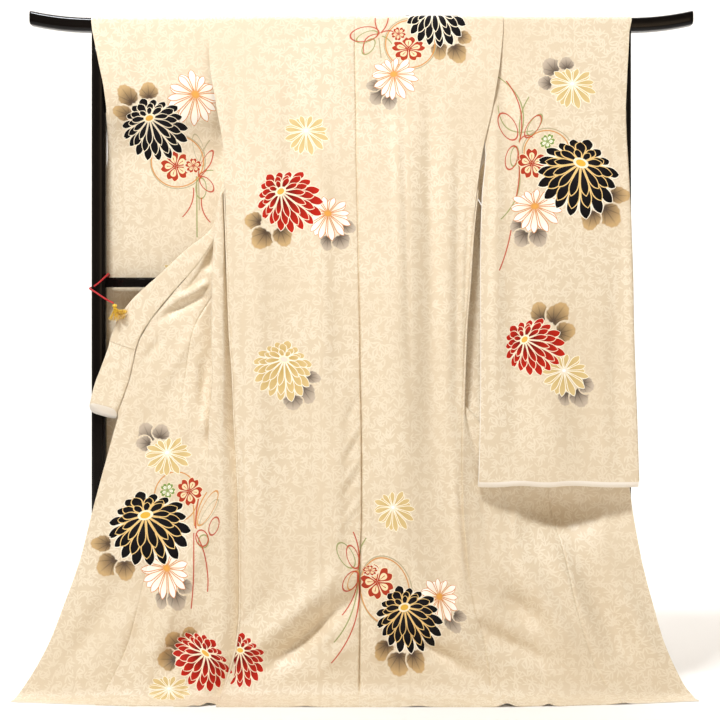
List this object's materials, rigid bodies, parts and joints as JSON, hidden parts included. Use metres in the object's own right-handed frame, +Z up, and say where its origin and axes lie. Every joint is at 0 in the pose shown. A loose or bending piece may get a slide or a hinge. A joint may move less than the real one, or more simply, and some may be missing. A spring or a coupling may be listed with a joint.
{
  "type": "furisode kimono on a kimono rack",
  "caption": "Long-sleeved silk kimono with chrysanthemums, draped over a black lacquered rack and seen from its back, with fronts drawn out and hem on the floor.",
  "frame": {"origin": "on the floor, under the middle of the footprint of the hem and the rack's feet", "axes": "+X to the right as the garment's back is seen, +Y from the garment's back towards the far side of the rack, +Z up"},
  "size_m": [1.497, 0.324, 1.5181],
  "materials": {
    "figured_silk": "soft satin sheen, cream figured silk with painted flowers",
    "black_lacquer": "polished black lacquer on wood",
    "red_cord": "twisted silk cord",
    "yellow_floss": "loose silk floss"
  },
  "bodies": {
    "root": {"back_left": "figured_silk", "back_right": "figured_silk", "front_left": "figured_silk", "front_right": "figured_silk", "okumi_left": "figured_silk", "okumi_right": "figured_silk", "sleeve_left": "figured_silk", "sleeve_right": "figured_silk", "over_collar": "figured_silk", "collar_left": "figured_silk", "collar_right": "figured_silk", "top_bar": "black_lacquer", "mid_rail": "black_lacquer", "post_left": "black_lacquer", "post_right": "black_lacquer", "foot_left": "black_lacquer", "foot_right": "black_lacquer", "tie_cord": "red_cord", "tassel": "yellow_floss"}
  },
  "joints": []
}
